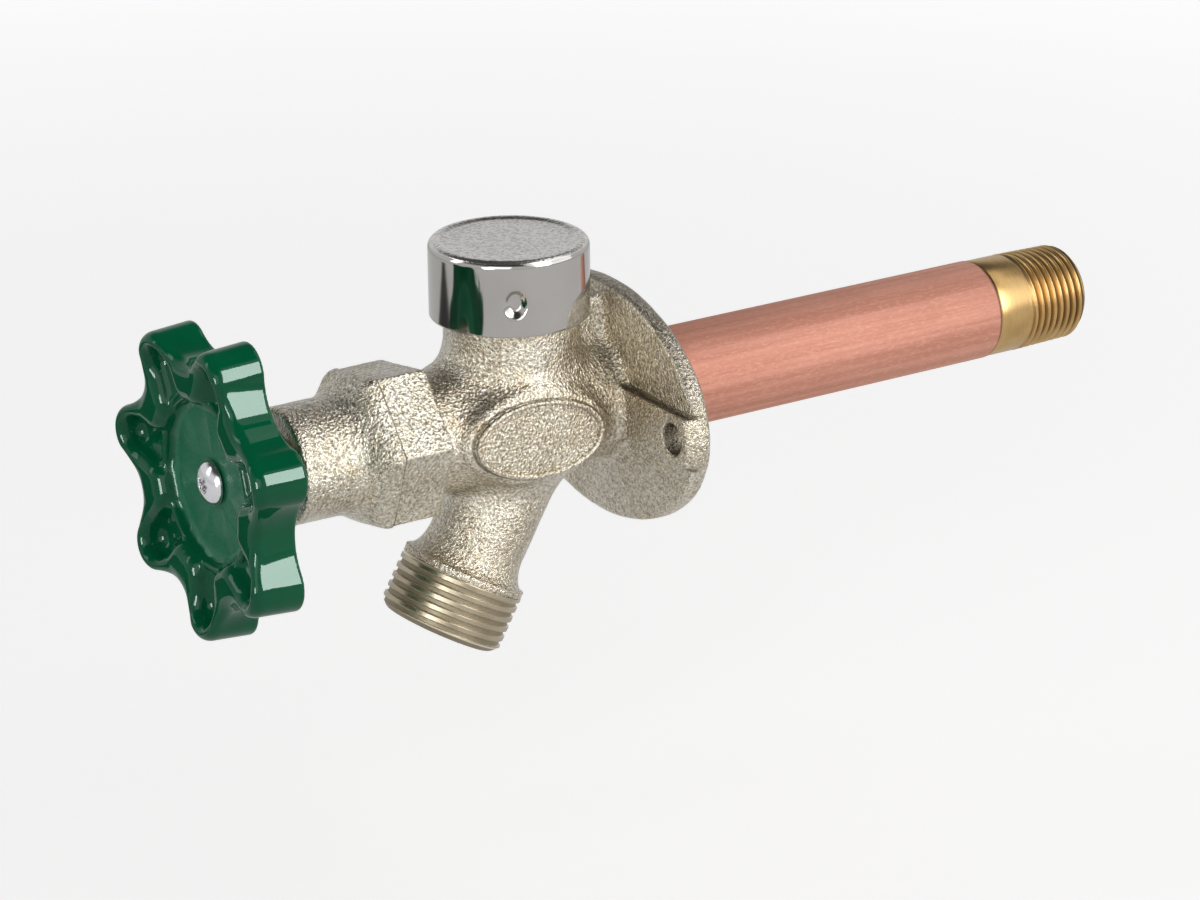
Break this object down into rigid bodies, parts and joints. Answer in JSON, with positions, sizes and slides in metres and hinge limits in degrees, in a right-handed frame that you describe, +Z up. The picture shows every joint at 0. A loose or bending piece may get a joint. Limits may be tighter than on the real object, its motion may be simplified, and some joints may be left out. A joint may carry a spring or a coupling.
{
  "type": "frost free sillcock",
  "caption": "Frost free outdoor tap with a lobed handwheel, oval wall flange, capped vacuum breaker, angled hose spout and a copper tube ending in a threaded inlet.",
  "frame": {"origin": "centre of the flange's wall face, on the tube axis, midway between the two wall screws", "axes": "+Y along the tube into the wall, +Z up, the handle faces -Y"},
  "size_m": [0.075, 0.2235, 0.0892],
  "materials": {
    "cast_body": "sand cast brass with a rough nickel plate",
    "cast_nut": "sand cast brass with a rough nickel plate",
    "fibre": "pressed fibre",
    "packing": "graphited packing",
    "brass": "machined yellow brass",
    "bright_ring": "machined, plated brass",
    "copper": "drawn copper, satin",
    "inlet_brass": "machined yellow brass",
    "bright_cap": "bright plated stamping",
    "black_rubber": "black rubber",
    "green_enamel": "glossy deep green enamel on a casting",
    "bright_screw": "bright plated steel",
    "steel_pin": "plain steel",
    "float_plastic": "moulded acetal"
  },
  "bodies": {
    "tap_body": {"valve_body": "cast_body", "packing_nut": "cast_nut", "bonnet_gasket": "fibre", "stem_packing": "packing", "packing_washer": "brass", "gland_ring": "bright_ring", "inlet_tube": "copper", "inlet_fitting": "inlet_brass", "vacuum_breaker_cap": "bright_cap", "vacuum_breaker_retainer": "brass", "retainer_o_ring": "black_rubber"},
    "seat_plunger": {"washer_holder": "brass", "seat_washer": "black_rubber", "washer_screw": "brass"},
    "handle_and_stem": {"handle": "green_enamel", "handle_screw": "bright_screw", "stem": "brass", "stem_o_ring": "black_rubber", "operating_rod": "brass", "rod_pin": "steel_pin"},
    "air_float": {"vent_float": "float_plastic", "float_seal": "black_rubber"}
  },
  "joints": [
    {"name": "stem_travel", "type": "slide", "parent": "tap_body", "child": "seat_plunger", "axis": [0, -1, 0], "range_m": [0, 0.006]},
    {"name": "handle_turn", "type": "hinge", "parent": "seat_plunger", "child": "handle_and_stem", "pos_m": [0, -0.09, 0], "axis": [0, -1, 0], "range_deg": [0, 360]},
    {"name": "float_lift", "type": "slide", "parent": "tap_body", "child": "air_float", "axis": [0, 0, 1], "range_m": [0, 0.003]}
  ],
  "couplings": [
    {"joint": "stem_travel", "follows": "handle_turn", "m_per_rad": 0.00095493}
  ]
}
